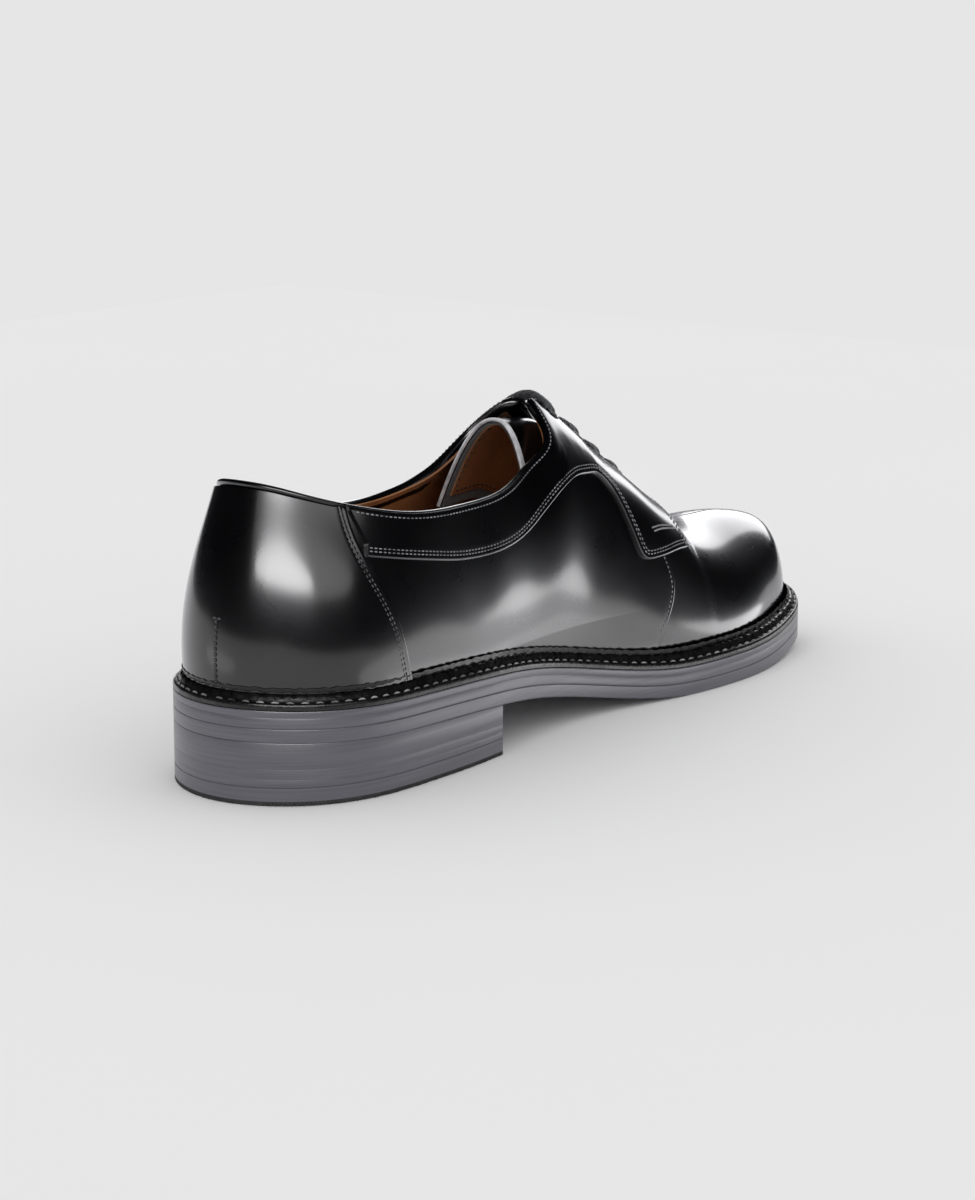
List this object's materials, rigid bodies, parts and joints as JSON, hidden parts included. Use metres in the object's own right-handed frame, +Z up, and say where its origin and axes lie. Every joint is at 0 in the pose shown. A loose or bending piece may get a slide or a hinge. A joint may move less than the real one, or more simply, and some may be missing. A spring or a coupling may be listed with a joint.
{
  "type": "derby shoe",
  "caption": "Plain-toe derby dress shoe in polished black leather, with a hollow last-shaped upper, overlaid heel counter and lacing flaps, a tongue, an all-round welt and a stacked heel.",
  "frame": {"origin": "middle of the footprint box, on the floor", "axes": "+X to the toe, +Y to the lateral (outer) side, +Z up"},
  "size_m": [0.302, 0.099, 0.1076],
  "materials": {
    "top_piece_rubber": "matte black rubber",
    "heel_edge": "black-inked stacked leather, waxed edge",
    "outsole_edge": "black-inked leather edge, satin",
    "midsole_edge": "black-inked leather edge, satin",
    "welt_leather": "black leather, stitched and waxed",
    "tan_lining": "tan leather lining, matte",
    "upper_leather": "polished black leather, high gloss",
    "counter_leather": "polished black leather, high gloss",
    "facing_leather": "polished black leather, high gloss",
    "tongue_leather": "black leather with a suede border inside",
    "waxed_lace": "woven waxed cotton"
  },
  "bodies": {
    "root": {"top_piece": "top_piece_rubber", "heel_stack": "heel_edge", "outsole": "outsole_edge", "midsole": "midsole_edge", "welt": "welt_leather", "insole": "tan_lining", "upper": "upper_leather", "heel_counter": "counter_leather", "facing_medial": "facing_leather", "facing_lateral": "facing_leather", "tongue": "tongue_leather", "lace": "waxed_lace"}
  },
  "joints": []
}
